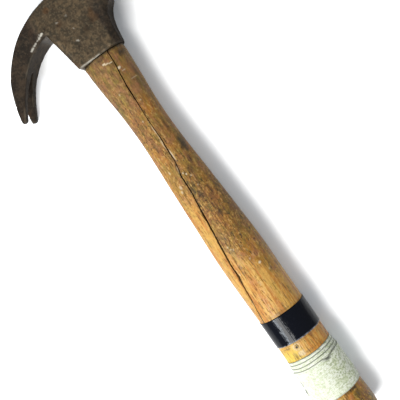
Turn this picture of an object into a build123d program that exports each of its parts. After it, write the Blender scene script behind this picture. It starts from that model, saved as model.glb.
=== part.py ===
from build123d import *

import os
from math import cos, hypot, radians, sin

# An old claw hammer lying on its side on a bench, in millimetres.
# +Z is up, +X runs along the handle from the butt to the head, +Y is the claw side and
# -Y the striking side. The origin is on the bench, under the middle of the hammer.

# Whole hammer
LENGTH = 329.0  # butt to the top of the poll
FACE_REACH = 66.0  # handle axis to the striking face
CLAW_REACH = 63.1  # handle axis to the claw tips
HEAD_HEIGHT = 49.0  # mouth of the socket to the top of the poll
HEAD_HALF = 14.5  # half the width of the head across its cheeks

BUTT_X = -LENGTH / 2
MOUTH_X = LENGTH / 2 - HEAD_HEIGHT
AXIS_Y = (FACE_REACH - CLAW_REACH) / 2
MID_Z = HEAD_HALF

# Claw: its back and its inside are arcs in side view
BACK_RADIUS = 62.9
BACK_CENTRE = (MOUTH_X - 17.1, AXIS_Y + 1.4)
INSIDE_RADIUS = 52.6
INSIDE_CENTRE = (MOUTH_X - 24.0, AXIS_Y + 7.9)
CROWN_X = BACK_CENTRE[0] + BACK_RADIUS
BACK_END = 80.5  # degrees round the back's arc to the tips
INSIDE_START = 12.0  # degrees round the inside's arc, in the eye block
INSIDE_END = 51.5  # degrees round it to where it runs straight to the tips
TIP_RUN = 18.3  # length of that straight
CLAW_ROOT_DEPTH = 20.0  # how far the claw's outline reaches into the eye block
TIP_RADIUS = 1.3
CLAW_HALVES = (  # distance from the handle axis, half the width of the claw there
    (20.0, HEAD_HALF),
    (47.0, 12.7),
    (CLAW_REACH + 2, 13.9),
)
SLOT_SECTIONS = (  # degrees round the back's arc, half the width of the nail slot there
    (50.0, 0.6),
    (60.0, 3.6),
    (71.0, 6.3),
    (86.0, 7.8),
)
SLOT_BEVEL = 1.0  # extra half width on the inside of the claw, to catch a nail head
SLOT_INWARD = 14.0  # how far the cut reaches in and out from the claw's back
SLOT_OUTWARD = 6.0
BACK_CHAMFER = 1.2
ARC_TOLERANCE = 0.5

# Neck, poll and striking face
POLL_HALF = 13.8
POLL_X = LENGTH / 2 - POLL_HALF
POLL_END = 58.0  # handle axis to the end of the eight-sided poll
OCTAGON_CUT = 0.58  # corner cuts of the neck and poll, as a share of their half width
FACE_RADIUS = 13.3
FACE_CHAMFER = 1.2
NECK_SECTIONS = (  # distance from the handle axis, half height, half width
    (12.0, 10.8, 13.8),
    (24.0, 10.6, 12.4),
    (33.0, 10.3, 10.8),
    (42.0, 11.0, 11.0),
    (50.0, 12.9, 12.9),
    (POLL_END, POLL_HALF, POLL_HALF),
)

# Socket: cut-cornered sections going up from its mouth
SOCKET_SECTIONS = (  # height, claw side, striking side, claw side cut, striking side cut
    (0.0, 15.3, 15.3, 2.4, 5.6),
    (10.0, 16.9, 16.5, 2.2, 3.6),
    (17.0, 18.1, 18.2, 2.1, 1.4),
    (21.0, 18.8, 20.6, 2.0, 3.2),
    (24.5, 19.4, 24.5, 2.0, 5.6),
    (HEAD_HEIGHT, 20.0, 24.5, 2.0, 5.6),
)

# Eye: oval bore, waisted so that the wedged tenon cannot pull out
BORE_SECTIONS = (  # height, half length, half width
    (-2.0, 13.0, 11.2),
    (22.0, 11.2, 8.8),
    (HEAD_HEIGHT, 12.8, 10.4),
)
FIT = 0.1  # clearance round the tenon
CROWN_CHAMFER = 2.0

# Handle: oval sections from the butt
HANDLE_SECTIONS = (  # distance from the butt, half width, half thickness
    (0.0, 16.6, 13.7),
    (10.0, 17.3, 14.2),
    (28.0, 16.2, 13.3),
    (60.0, 15.8, 13.1),
    (105.0, 15.9, 12.8),
    (138.0, 15.9, 12.6),
    (157.0, 15.0, 12.0),
    (188.0, 13.5, 11.2),
    (219.0, 11.8, 10.4),
    (244.0, 12.2, 10.8),
    (262.0, 13.5, 11.8),
    (279.9, 14.4, 13.0),
)
BUTT_ROUND = 3.0
TENON_TOP_X = CROWN_X - 0.5

# The split in the handle, seen from above: distance from the butt, offset to the claw side
SPLIT_POINTS = (
    (279.5, -5.0),
    (270.0, -4.5),
    (262.8, -3.1),
    (244.0, -1.8),
    (220.0, -0.9),
    (199.0, 0.3),
    (189.0, 2.3),
    (171.0, 4.0),
    (150.0, 6.4),
    (128.0, 8.9),
    (109.0, 10.4),
    (92.0, 12.4),
)
SPLIT_WIDTH = 0.7
SPLIT_FLOOR_Z = MID_Z + 3.0

# Wedges
WOOD_WEDGE_TOP = 1.7  # half thickness at the top of the tenon
WOOD_WEDGE_POINT = 0.4
WOOD_WEDGE_DEPTH = 32.0
STEEL_WEDGE_TOP = 0.9
STEEL_WEDGE_POINT = 0.2
STEEL_WEDGE_DEPTH = 16.0
STEEL_WEDGE_HALF = 6.0
STEEL_WEDGE_OFFSET = 5.5

# Repairs on the handle, as distances from the butt
TAPE_START = 69.5
TAPE_WIDTH = 19.0
TAPE_THICK = 0.55
TAPE_BED = (15.85, 13.05)  # half width and half thickness of the wood under the tape
CLOTH_BED = (15.95, 13.2)  # and under the cloth
CLOTH_WIDTH = 26.5
CLOTH_LAYERS = ((32.2, 0.4), (30.0, 0.7), (27.7, 1.0), (25.2, 1.3))  # each turn's start and height
BRAD_AT = 66.2
BRAD_OFFSET = 4.4
BRAD_TOP_Z = MID_Z + 12.95
BRAD_HEAD_RADIUS = 1.2
BRAD_HEAD_THICK = 0.6
BRAD_SHANK_RADIUS = 0.6
BRAD_LENGTH = 14.0


def along(distance):
    """X of a place on the handle, from its distance to the butt."""
    return BUTT_X + distance


def round_back(angle):
    """Point at an angle on the arc of the claw's back."""
    turn = radians(angle)
    return BACK_CENTRE[0] + BACK_RADIUS * cos(turn), BACK_CENTRE[1] + BACK_RADIUS * sin(turn)


def round_inside(angle):
    """Point at an angle on the arc of the claw's inside."""
    turn = radians(angle)
    return INSIDE_CENTRE[0] + INSIDE_RADIUS * cos(turn), INSIDE_CENTRE[1] + INSIDE_RADIUS * sin(turn)


def cut_corner_outline(high, low, half, high_cut, low_cut):
    """Rectangle from -low to high with its corners cut off, as points for a Polygon."""
    return (
        (high - high_cut, half),
        (-low + low_cut, half),
        (-low, half - low_cut),
        (-low, -half + low_cut),
        (-low + low_cut, -half),
        (high - high_cut, -half),
        (high, -half + high_cut),
        (high, half - high_cut),
    )


def octagon_outline(half_x, half_y):
    """Eight-sided outline with equal corner cuts, as points for a Polygon."""
    cut = OCTAGON_CUT * min(half_x, half_y)
    return cut_corner_outline(half_x, half_x, half_y, cut, cut)


def across_handle(x):
    """Plane across the handle at x, centred on the handle's axis."""
    return Plane(origin=(x, AXIS_Y, MID_Z), x_dir=(0, 1, 0), z_dir=(1, 0, 0))


def across_poll(reach):
    """Plane across the neck and poll, at a distance from the handle's axis."""
    return Plane(origin=(POLL_X, AXIS_Y - reach, MID_Z), x_dir=(1, 0, 0), z_dir=(0, -1, 0))


def radial_plane(angle):
    """Plane through the back's centre: its x axis points outwards and its y axis is -Z."""
    turn = radians(angle)
    outward = (cos(turn), sin(turn), 0)
    return Plane(origin=(*round_back(angle), MID_Z), x_dir=outward, z_dir=(-sin(turn), cos(turn), 0))


def on_claw_back(edge):
    """True for the long edges between the claw's back and its sides."""
    middle = edge @ 0.5
    radius = hypot(middle.X - BACK_CENTRE[0], middle.Y - BACK_CENTRE[1])
    return edge.length > BACK_RADIUS / 4 and abs(radius - BACK_RADIUS) < ARC_TOLERANCE


# Socket and eye block, trimmed at the top to the curve of the claw's back
with BuildPart() as eye_block:
    for height, claw_side, face_side, claw_cut, face_cut in SOCKET_SECTIONS:
        with BuildSketch(across_handle(MOUTH_X + height)):
            Polygon(*cut_corner_outline(claw_side, face_side, HEAD_HALF, claw_cut, face_cut))
    loft(ruled=True)
    with BuildSketch(Plane.XY):
        with Locations(BACK_CENTRE):
            Circle(BACK_RADIUS)
        with Locations((CROWN_X, BACK_CENTRE[1])):
            Rectangle(2 * HEAD_HEIGHT, FACE_REACH, align=(Align.MAX, Align.MAX))
    extrude(amount=2 * HEAD_HALF, mode=Mode.INTERSECT)
    crown = eye_block.edges().filter_by_position(Axis.X, CROWN_X - CROWN_CHAMFER, CROWN_X + 1)
    chamfer(crown.filter_by(Axis.Y), length=CROWN_CHAMFER)

# Claw: side view extruded, narrowed to the tips and slotted
with BuildPart() as claw:
    straight_start = round_inside(INSIDE_END)
    tip_inside = (
        straight_start[0] - TIP_RUN * sin(radians(INSIDE_END)),
        straight_start[1] + TIP_RUN * cos(radians(INSIDE_END)),
    )
    claw_root = (CROWN_X - CLAW_ROOT_DEPTH, BACK_CENTRE[1])
    with BuildSketch(Plane.XY):
        with BuildLine():
            CenterArc(BACK_CENTRE, BACK_RADIUS, 0, BACK_END)
            Line(round_back(BACK_END), tip_inside)
            Line(tip_inside, straight_start)
            CenterArc(INSIDE_CENTRE, INSIDE_RADIUS, INSIDE_END, INSIDE_START - INSIDE_END)
            Line(round_inside(INSIDE_START), claw_root)
            Line(claw_root, round_back(0))
        make_face()
    extrude(amount=2 * HEAD_HALF)
    fillet(claw.edges().filter_by(Axis.Z).sort_by(Axis.X)[:2], radius=TIP_RADIUS)
    chamfer(claw.edges().filter_by(on_claw_back), length=BACK_CHAMFER)
    # the sides draw in to a waist and spread again to the tips
    with BuildSketch(across_handle(BUTT_X)):
        upper_side = [(0, HEAD_HALF), *CLAW_HALVES]
        lower_side = [(reach, -half) for reach, half in reversed(upper_side)]
        Polygon(*upper_side, *lower_side)
    extrude(amount=LENGTH, mode=Mode.INTERSECT)
    # nail slot, wider on the inside of the curve
    for angle, half in SLOT_SECTIONS:
        with BuildSketch(radial_plane(angle)):
            Polygon(
                (-SLOT_INWARD, -half - SLOT_BEVEL),
                (SLOT_OUTWARD, -half),
                (SLOT_OUTWARD, half),
                (-SLOT_INWARD, half + SLOT_BEVEL),
            )
    loft(ruled=True, mode=Mode.SUBTRACT)

# Neck and eight-sided poll, growing out of the eye block, with a round striking face
with BuildPart() as poll:
    for reach, half_x, half_z in NECK_SECTIONS:
        with BuildSketch(across_poll(reach)):
            Polygon(*octagon_outline(half_x, half_z))
    loft()
    with BuildSketch(across_poll(POLL_END)):
        Circle(FACE_RADIUS)
    extrude(amount=FACE_REACH - POLL_END)
    chamfer(poll.faces().sort_by(Axis.Y)[0].edges(), length=FACE_CHAMFER)

# Forged head: one piece, pierced by the eye
with BuildPart() as head:
    add(eye_block.part)
    add(claw.part)
    add(poll.part)
    for height, half_y, half_z in BORE_SECTIONS:
        with BuildSketch(across_handle(MOUTH_X + height)):
            Ellipse(half_y, half_z)
    loft(mode=Mode.SUBTRACT)

# Handle without its split and wedge cuts
with BuildPart() as handle_blank:
    for distance, half_y, half_z in HANDLE_SECTIONS:
        with BuildSketch(across_handle(along(distance))):
            Ellipse(half_y, half_z)
    loft()
    fillet(handle_blank.faces().sort_by(Axis.X)[0].edges(), radius=BUTT_ROUND)

with BuildPart() as tenon:
    for height, half_y, half_z in BORE_SECTIONS:
        with BuildSketch(across_handle(MOUTH_X + height)):
            Ellipse(half_y - FIT, half_z - FIT)
    loft()
    split(bisect_by=Plane.YZ.offset(TENON_TOP_X), keep=Keep.BOTTOM)

# Wooden wedge along the eye, the full length of the saw cut in the tenon
with BuildPart() as wood_cut:
    with BuildSketch(Plane.XZ.offset(-AXIS_Y)):
        Polygon(
            (TENON_TOP_X + 1, MID_Z - WOOD_WEDGE_TOP),
            (TENON_TOP_X + 1, MID_Z + WOOD_WEDGE_TOP),
            (TENON_TOP_X - WOOD_WEDGE_DEPTH, MID_Z + WOOD_WEDGE_POINT),
            (TENON_TOP_X - WOOD_WEDGE_DEPTH, MID_Z - WOOD_WEDGE_POINT),
        )
    extrude(amount=HEAD_HALF, both=True)


def steel_wedge_outline(side):
    """Side view of a steel wedge driven across the wooden one."""
    middle = AXIS_Y + side * STEEL_WEDGE_OFFSET
    return (
        (TENON_TOP_X, middle - STEEL_WEDGE_TOP),
        (TENON_TOP_X, middle + STEEL_WEDGE_TOP),
        (TENON_TOP_X - STEEL_WEDGE_DEPTH, middle + STEEL_WEDGE_POINT),
        (TENON_TOP_X - STEEL_WEDGE_DEPTH, middle - STEEL_WEDGE_POINT),
    )


with BuildPart() as steel_wedge_claw_side:
    with BuildSketch(Plane.XY.offset(MID_Z)):
        Polygon(*steel_wedge_outline(1))
    extrude(amount=STEEL_WEDGE_HALF, both=True)

with BuildPart() as steel_wedge_face_side:
    with BuildSketch(Plane.XY.offset(MID_Z)):
        Polygon(*steel_wedge_outline(-1))
    extrude(amount=STEEL_WEDGE_HALF, both=True)

with BuildPart() as wood_wedge:
    add(wood_cut.part)
    add(tenon.part, mode=Mode.INTERSECT)
    add(steel_wedge_claw_side.part, mode=Mode.SUBTRACT)
    add(steel_wedge_face_side.part, mode=Mode.SUBTRACT)

# Brad in the bare wood between the two repairs
with BuildPart() as repair_brad:
    with BuildSketch(Plane.XY.offset(BRAD_TOP_Z)):
        with Locations((along(BRAD_AT), AXIS_Y + BRAD_OFFSET)):
            Circle(BRAD_HEAD_RADIUS)
    extrude(amount=-BRAD_HEAD_THICK)
    with BuildSketch(Plane.XY.offset(BRAD_TOP_Z)):
        with Locations((along(BRAD_AT), AXIS_Y + BRAD_OFFSET)):
            Circle(BRAD_SHANK_RADIUS)
    extrude(amount=-BRAD_LENGTH)

# Handle: oval stick, tenon, saw cut, split and nail hole
with BuildPart() as handle:
    add(handle_blank.part)
    add(tenon.part)
    add(wood_cut.part, mode=Mode.SUBTRACT)
    add(steel_wedge_claw_side.part, mode=Mode.SUBTRACT)
    add(steel_wedge_face_side.part, mode=Mode.SUBTRACT)
    with BuildSketch(Plane.XY.offset(SPLIT_FLOOR_Z)):
        with BuildLine():
            Polyline(*[(along(distance), AXIS_Y + offset_y) for distance, offset_y in SPLIT_POINTS])
            offset(amount=SPLIT_WIDTH / 2, side=Side.BOTH)
        make_face()
    extrude(amount=HEAD_HALF, mode=Mode.SUBTRACT)
    add(repair_brad.part, mode=Mode.SUBTRACT)

# Black tape: a flat ring round the handle, face to face with it
with BuildPart() as black_tape_band:
    with BuildSketch(across_handle(along(TAPE_START))):
        Ellipse(TAPE_BED[0] + TAPE_THICK, TAPE_BED[1] + TAPE_THICK)
    extrude(amount=TAPE_WIDTH)
    add(handle_blank.part, mode=Mode.SUBTRACT)

# Cloth tape: turns wound over each other, each a little further towards the butt
with BuildPart() as cloth_tape_wrap:
    for start, height in CLOTH_LAYERS:
        with BuildSketch(across_handle(along(start))):
            Ellipse(CLOTH_BED[0] + height, CLOTH_BED[1] + height)
        extrude(amount=CLOTH_WIDTH)
    add(handle_blank.part, mode=Mode.SUBTRACT)

PIECES = {
    "head": head,
    "handle": handle,
    "wood_wedge": wood_wedge,
    "steel_wedge_claw_side": steel_wedge_claw_side,
    "steel_wedge_face_side": steel_wedge_face_side,
    "repair_brad": repair_brad,
    "black_tape_band": black_tape_band,
    "cloth_tape_wrap": cloth_tape_wrap,
}

os.makedirs("parts", exist_ok=True)
for name, piece in PIECES.items():
    piece.part.label = name
    export_step(piece.part, f"parts/{name}.step")
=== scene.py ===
from math import atan2, cos, pi, radians, sin, sqrt

import bmesh
import bpy
import numpy as np
from mathutils import Matrix, Vector
from mathutils.bvhtree import BVHTree


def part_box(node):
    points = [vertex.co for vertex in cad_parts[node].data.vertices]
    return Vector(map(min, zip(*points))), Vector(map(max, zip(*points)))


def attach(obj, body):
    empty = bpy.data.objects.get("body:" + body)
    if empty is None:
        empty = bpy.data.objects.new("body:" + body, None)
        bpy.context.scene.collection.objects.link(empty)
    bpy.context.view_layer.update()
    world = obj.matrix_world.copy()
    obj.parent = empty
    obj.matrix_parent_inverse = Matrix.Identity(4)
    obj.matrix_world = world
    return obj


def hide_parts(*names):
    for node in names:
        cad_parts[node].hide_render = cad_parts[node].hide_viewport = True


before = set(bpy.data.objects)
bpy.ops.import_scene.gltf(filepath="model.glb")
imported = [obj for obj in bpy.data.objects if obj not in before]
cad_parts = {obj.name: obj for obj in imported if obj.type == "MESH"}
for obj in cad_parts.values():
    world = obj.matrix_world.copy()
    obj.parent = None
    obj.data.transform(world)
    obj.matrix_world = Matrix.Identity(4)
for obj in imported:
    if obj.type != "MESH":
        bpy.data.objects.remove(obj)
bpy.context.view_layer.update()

# A worn claw hammer lying on its side on a pale floor. Everything is in metres, in the row's
# frame: +X runs from the butt to the head, +Y is the claw side, -Y the striking side, +Z is up.

MM = 0.001
TAU = 2 * pi
BRIGHTNESS = 2.0  # how far the light on the floor is over white
FLOOR_WHITE = 0.9

# Places, from the frame
head_low, head_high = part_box("head")
tape_low, tape_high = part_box("black_tape_band")
brad_low, brad_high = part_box("repair_brad")
brad_radius = (brad_high.y - brad_low.y) / 2
brad_top = ((brad_low.x + brad_high.x) / 2, (brad_low.y + brad_high.y) / 2, brad_high.z)
BUTT_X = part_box("handle")[0].x
MOUTH = 280.0  # from the butt to the mouth of the socket, in millimetres
MOUTH_X = BUTT_X + MOUTH * MM
AXIS_Y = (tape_low.y + tape_high.y) / 2
MID_Z = (tape_low.z + tape_high.z) / 2


# ------ noise on arrays of points


def lattice_value(cell, seed):
    """A repeatable value between 0 and 1 for each whole-number cell."""
    key = cell.astype(np.int64).astype(np.uint32)
    mixed = key[:, 0] * np.uint32(374761393) + key[:, 1] * np.uint32(668265263)
    mixed = mixed + key[:, 2] * np.uint32(2246822519) + np.uint32(seed * 3266489917 % 2**32)
    mixed = (mixed ^ (mixed >> np.uint32(15))) * np.uint32(2654435761)
    mixed = (mixed ^ (mixed >> np.uint32(13))) * np.uint32(1274126177)
    return (mixed ^ (mixed >> np.uint32(16))).astype(float) / 2**32


def smooth_noise(points, size, seed):
    """Smooth noise between -1 and 1. size is the width of its lumps, one number or three."""
    scaled = points / np.asarray(size, float)
    cell = np.floor(scaled)
    blend = scaled - cell
    blend = blend * blend * (3 - 2 * blend)
    total = np.zeros(len(points))
    for corner in np.ndindex(2, 2, 2):
        weight = np.ones(len(points))
        for axis in range(3):
            weight *= blend[:, axis] if corner[axis] else 1 - blend[:, axis]
        total += weight * lattice_value(cell + corner, seed)
    return 2 * total - 1


def fractal_noise(points, size, octaves, seed):
    """Noise between about -1 and 1 whose octaves are each half the width of the last."""
    total = np.zeros(len(points))
    for octave in range(octaves):
        total += smooth_noise(points, np.asarray(size, float) / 2**octave, seed + octave) / 2**octave
    return total / (2 - 0.5 ** (octaves - 1))


def pit_noise(points, size, seed):
    """Round spots scattered one to a cell: 1 in the middle of a spot, 0 outside it."""
    scaled = points / size
    cell = np.floor(scaled)
    deepest = np.zeros(len(points))
    for shift in np.ndindex(3, 3, 3):
        near = cell + np.array(shift) - 1
        spot = np.stack([near[:, k] + lattice_value(near, seed + 7 * k + 1) for k in range(3)], 1)
        radius = 0.12 + 0.38 * lattice_value(near, seed) ** 3
        distance = np.linalg.norm(scaled - spot, axis=1) / radius
        deepest = np.maximum(deepest, np.clip(1 - distance, 0, 1) * np.minimum(1, radius * 3))
    return deepest


def ramp(value, start, end):
    """0 before start, 1 after end, smooth between, in either direction."""
    t = np.clip((value - start) / (end - start), 0, 1)
    return t * t * (3 - 2 * t)


def bump_at(value, middle, half_width):
    """1 at the middle, falling smoothly to 0 at half_width away."""
    return ramp(np.abs(value - middle), half_width, 0)


# ------ meshes


def mesh_piece(name, points, faces):
    """A mesh object from an array of points and arrays of quads or lists of polygons."""
    mesh = bpy.data.meshes.new(name)
    faces = [face for group in faces for face in np.asarray(group).tolist()]
    mesh.from_pydata(points.tolist(), [], faces)
    mesh.update()
    mesh.shade_smooth()
    piece = bpy.data.objects.new(name, mesh)
    bpy.context.scene.collection.objects.link(piece)
    return piece


def grid_faces(rows, columns, wrapped, flip=False, first=0):
    """Quads of a grid of points kept row by row; wrapped joins the last column to the first."""
    row, column = np.meshgrid(np.arange(rows - 1), np.arange(columns - (not wrapped)), indexing="ij")
    after = (column + 1) % columns
    here, above = row * columns, (row + 1) * columns
    quads = np.stack([here + column, here + after, above + after, above + column], axis=-1).reshape(-1, 4)
    return first + (quads[:, ::-1] if flip else quads)


def read_vertices(mesh, what):
    """The places ("co") or the normals ("normal") of the mesh's points."""
    values = np.zeros(len(mesh.vertices) * 3, np.float32)
    mesh.vertices.foreach_get(what, values)
    return values.reshape(-1, 3).astype(float)


def write_points(mesh, points):
    mesh.vertices.foreach_set("co", points.astype(np.float32).ravel())
    mesh.update()


def write_mask(piece, name, values):
    """Keeps a value for each point of the mesh, for the material to read."""
    mask = piece.data.attributes.new(name, "FLOAT", "POINT")
    mask.data.foreach_set("value", np.asarray(values, np.float32))


def write_vectors(piece, name, values):
    vectors = piece.data.attributes.new(name, "FLOAT_VECTOR", "POINT")
    vectors.data.foreach_set("vector", np.asarray(values, np.float32).ravel())


def neighbour_mean(mesh, values, rounds):
    """Each point's values averaged with its neighbours', as many times as asked."""
    edges = np.zeros(len(mesh.edges) * 2, np.int32)
    mesh.edges.foreach_get("vertices", edges)
    start, end = edges.reshape(-1, 2).T
    count = np.bincount(start, minlength=len(values)) + np.bincount(end, minlength=len(values))
    for _ in range(rounds):
        total = np.zeros_like(values)
        for axis in range(values.shape[1]):
            total[:, axis] = np.bincount(start, values[end, axis], len(values))
            total[:, axis] += np.bincount(end, values[start, axis], len(values))
        values = total / np.maximum(count, 1)[:, None]
    return values


def with_modifiers(piece, *modifiers):
    """Changes the piece's mesh by some modifiers, each given as (type, settings)."""
    for kind, settings in modifiers:
        modifier = piece.modifiers.new(kind, kind)
        for key, value in settings.items():
            setattr(modifier, key, value)
    depsgraph = bpy.context.evaluated_depsgraph_get()
    mesh = bpy.data.meshes.new_from_object(piece.evaluated_get(depsgraph))
    piece.modifiers.clear()
    old, piece.data = piece.data, mesh
    bpy.data.meshes.remove(old)
    mesh.shade_smooth()


def copy_of_node(node, name):
    piece = bpy.data.objects.new(name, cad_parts[node].data.copy())
    piece.data.materials.clear()
    bpy.context.scene.collection.objects.link(piece)
    return piece


# ------ materials


class Shader:
    """A material with a Principled shader, and short calls for its nodes."""

    def __init__(self, name, **settings):
        self.material = bpy.data.materials.new(name)
        self.material.use_nodes = True
        self.nodes = self.material.node_tree.nodes
        self.links = self.material.node_tree.links
        self.surface = self.nodes["Principled BSDF"]
        for socket, value in settings.items():
            self.surface.inputs[socket.replace("_", " ")].default_value = value

    def node(self, kind, settings=None, **inputs):
        """A node. settings are its own values, inputs its sockets: values or other nodes' outputs."""
        made = self.nodes.new(kind)
        for key, value in (settings or {}).items():
            setattr(made, key, value)
        for socket, value in inputs.items():
            self.feed(made.inputs[socket.replace("_", " ")], value)
        return made

    def feed(self, socket, value):
        if isinstance(value, bpy.types.NodeSocket):
            self.links.new(value, socket)
        else:
            socket.default_value = value

    def mask(self, name):
        return self.node("ShaderNodeAttribute", {"attribute_name": name}).outputs["Fac"]

    def vector(self, name):
        return self.node("ShaderNodeAttribute", {"attribute_name": name}).outputs["Vector"]

    def position(self, scale=(1, 1, 1)):
        """Place on the object in millimetres, times a scale for each axis."""
        where = self.node("ShaderNodeTexCoord").outputs["Object"]
        return self.scaled(where, [s / MM for s in scale])

    def scaled(self, vector, scale):
        mapping = self.node("ShaderNodeMapping", Vector=vector)
        mapping.inputs["Scale"].default_value = scale
        return mapping.outputs["Vector"]

    def noise(self, vector, scale=1.0, detail=3.0, roughness=0.55, distortion=0.0):
        made = self.node("ShaderNodeTexNoise", Vector=vector, Scale=scale, Detail=detail)
        made.inputs["Roughness"].default_value = roughness
        made.inputs["Distortion"].default_value = distortion
        return made.outputs["Fac"]

    def between(self, value, start, end, low=0.0, high=1.0):
        """value mapped so that start gives low and end gives high, held outside them."""
        made = self.node("ShaderNodeMapRange", {"interpolation_type": "SMOOTHSTEP"})
        sockets = ("Value", "From Min", "From Max", "To Min", "To Max")
        for socket, number in zip(sockets, (value, start, end, low, high)):
            self.feed(made.inputs[socket], number)
        return made.outputs["Result"]

    def maths(self, operation, *values):
        made = self.node("ShaderNodeMath", {"operation": operation})
        for socket, value in zip(made.inputs, values):
            self.feed(socket, value)
        return made.outputs["Value"]

    def plus(self, first, second):
        return self.maths("ADD", first, second)

    def times(self, first, second):
        return self.maths("MULTIPLY", first, second)

    def mix(self, amount, under, over, blend="MIX"):
        """Colour mixed from under to over by amount."""
        made = self.node("ShaderNodeMix", {"data_type": "RGBA", "blend_type": blend})
        sockets = [s for s in made.inputs if s.enabled]
        for socket, value in zip(sockets, (amount, under, over)):
            self.feed(socket, value)
        return next(s for s in made.outputs if s.enabled)

    def layers(self, colour, *layers):
        """A colour with others laid over it in turn, each given as (amount, colour)."""
        for amount, over in layers:
            colour = self.mix(amount, colour, over)
        return colour

    def bump(self, height, distance, strength=1.0):
        made = self.node("ShaderNodeBump", Height=height, Distance=distance, Strength=strength)
        return made.outputs["Normal"]

    def paint(self, colour=None, roughness=None, normal=None, metallic=None):
        """Feeds the shader's colour, roughness, normal and metallic."""
        given = {"Base Color": colour, "Roughness": roughness, "Normal": normal, "Metallic": metallic}
        for socket, value in given.items():
            if value is not None:
                self.feed(self.surface.inputs[socket], value)
        return self.material


def seen(red, painted_shade_side, blue):
    """The shader colour that looks like these 0 to 255 values on a surface facing the light."""
    shares = (red / 255, painted_shade_side / 255, blue / 255)
    linear = [v / 12.92 if v <= 0.04 else ((v + 0.055) / 1.055) ** 2.4 for v in shares]
    return (*[v / BRIGHTNESS for v in linear], 1.0)


def patinated_steel():
    """Dark brown forged steel: mottled patina, rust in the pits, bright worn edges, pale scuffs, a painted
    highlight on the mouth's rim and painted shade on the striking side.
    """
    shader = Shader("patinated_steel", Specular_IOR_Level=0.1)
    place = shader.position()
    mottle = shader.noise(place, 0.16, 5, 0.6)
    cloud = shader.noise(place, 0.42, 3, 0.6)
    grit = shader.noise(place, 0.8, 4, 0.62)
    fine = shader.noise(place, 3.5, 3, 0.6)
    colour = shader.layers(
        shader.mix(shader.between(mottle, 0.35, 0.68), seen(75, 64, 50), seen(110, 92, 69)),
        (shader.between(cloud, 0.45, 0.60, 0, 0.75), seen(66, 60, 48)),
        (shader.between(grit, 0.50, 0.64, 0, 0.5), seen(128, 110, 84)),
        (shader.between(grit, 0.44, 0.30, 0, 0.4), seen(56, 47, 37)),
        (shader.mask("rust"), shader.mix(grit, seen(82, 58, 38), seen(112, 80, 50))),
        (shader.mask("pits"), seen(48, 38, 29)),
    )
    # the dark layer darkens the claw, and as painted shade the striking side of the head
    colour = shader.mix(shader.mask("dark"), colour, (0.40, 0.40, 0.46, 1.0), "MULTIPLY")
    # the pale scuff layer also carries the painted highlight along the mouth's rim
    colour = shader.layers(
        colour, (shader.mask("worn"), seen(158, 148, 128)), (shader.mask("scuff_and_glint"), seen(225, 218, 202))
    )
    rough = shader.between(grit, 0.3, 0.7, 0.42, 0.62)
    rough = shader.plus(rough, shader.times(shader.mask("pits"), 0.2))
    rough = shader.maths("MAXIMUM", rough, shader.times(shader.mask("dark"), 0.9))
    normal = shader.bump(shader.plus(grit, shader.times(fine, 0.4)), 0.10 * MM)
    metal = shader.between(shader.plus(shader.mask("scuff_and_glint"), shader.mask("dark")), 0.0, 1.0, 0.4, 0.05)
    return shader.paint(colour, rough, normal, metal)


WOOD_NOISES = {  # scale along the handle, scale across it, detail, roughness
    "fibres": (0.04, 1.3, 4, 0.6),
    "pores": (0.16, 1.1, 3, 0.6),
    "blotch": (0.05, 0.14, 5, 0.65),
    "patch": (0.12, 0.22, 4, 0.6),
    "streak": (0.035, 0.40, 4, 0.6),
    "hue": (0.15, 0.27, 4, 0.6),
    "speck": (0.42, 0.7, 4, 0.7),
    "freckle": (0.55, 0.8, 3, 0.6),
}


def handle_wood():
    """Old straight-grained wood: growth lines and pores, dirt, stains, pale chips, varnish left, with
    painted shade, shadows and highlights.
    """
    shader = Shader("handle_wood", Specular_IOR_Level=0.18)
    noise = {
        name: shader.noise(shader.position((along, across, across)), 1.0, detail, roughness)
        for name, (along, across, detail, roughness) in WOOD_NOISES.items()
    }
    colour = dirty_wood(shader, clean_wood(shader, noise), noise)
    gloss = shader.times(shader.mask("varnish"), shader.between(noise["speck"], 0.62, 0.42, 0.3, 1.0))
    rough = shader.between(gloss, 0.0, 1.0, 0.62, 0.3)
    relief = shader.plus(noise["fibres"], shader.times(shader.between(noise["pores"], 0.68, 0.56), 0.6))
    relief = shader.plus(relief, shader.times(noise["speck"], 0.7))
    return shader.paint(colour, rough, shader.bump(relief, 0.34 * MM, 0.9))


def clean_wood(shader, noise):
    """Colour of the bare wood: golden where it is worn clean, with dark pores, and light specks that are
    painted glints.
    """
    rings = shader.node(
        "ShaderNodeTexWave",
        {"wave_type": "BANDS", "bands_direction": "DIAGONAL", "wave_profile": "SAW"},
        Vector=shader.position((0.018, 0.62, 0.62)),
        Scale=0.16, Distortion=4.5, Detail=3.0, Detail_Scale=0.8,
    )
    growth = shader.between(rings.outputs["Fac"], 0.1, 0.95, 0, 0.8)
    golden = shader.mask("golden")
    amber = shader.times(golden, shader.between(noise["streak"], 0.46, 0.57, 0, 0.8))
    pore = shader.times(shader.between(noise["pores"], 0.55, 0.63), shader.between(golden, 0, 1, 0.8, 0.6))
    # painted highlight: light specks standing for small glints on the grain
    light = shader.between(noise["speck"], 0.53, 0.64, 0, 0.65)
    light = shader.times(light, shader.between(golden, 0, 1, 1.0, 0.5))
    return shader.layers(
        shader.mix(growth, seen(204, 152, 66), seen(162, 108, 38)),
        (shader.between(noise["fibres"], 0.40, 0.62, 0, 0.65), seen(142, 92, 32)),
        (shader.between(noise["blotch"], 0.42, 0.66, 0, 0.6), seen(196, 122, 34)),
        (shader.times(golden, 0.65), seen(238, 186, 94)),
        (amber, seen(196, 122, 42)),
        (shader.between(noise["blotch"], 0.5, 0.3, 0, 0.35), seen(150, 124, 46)),
        (shader.times(shader.mask("yellow"), 0.75), seen(240, 208, 72)),
        (pore, seen(84, 54, 20)),
        (light, seen(236, 195, 118)),
    )


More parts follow.
